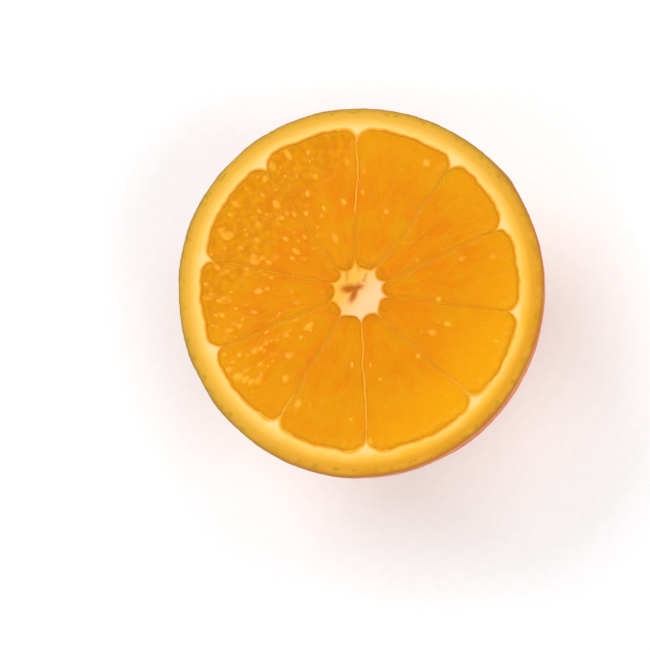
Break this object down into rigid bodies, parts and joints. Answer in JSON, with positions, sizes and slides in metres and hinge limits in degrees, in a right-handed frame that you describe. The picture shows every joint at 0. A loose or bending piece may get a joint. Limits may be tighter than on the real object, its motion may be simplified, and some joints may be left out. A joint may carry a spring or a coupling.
{
  "type": "orange half",
  "caption": "Half of a fresh orange cut across its segments, lying cut face up on its rounded back: pebbled skin, white pith, juicy segments and a pith core with a small hollow.",
  "frame": {"origin": "middle of the small flat spot that the rounded back lies on, on the axis of the fruit", "axes": "+Z out of the cut face along the axis of the fruit; +X and +Y in the cut plane, with one membrane at +Y"},
  "size_m": [0.076, 0.076, 0.0365],
  "materials": {
    "peel": "satin",
    "pith": "matte",
    "pulp": "gloss"
  },
  "bodies": {
    "root": {"orange_half": "peel"}
  },
  "joints": []
}
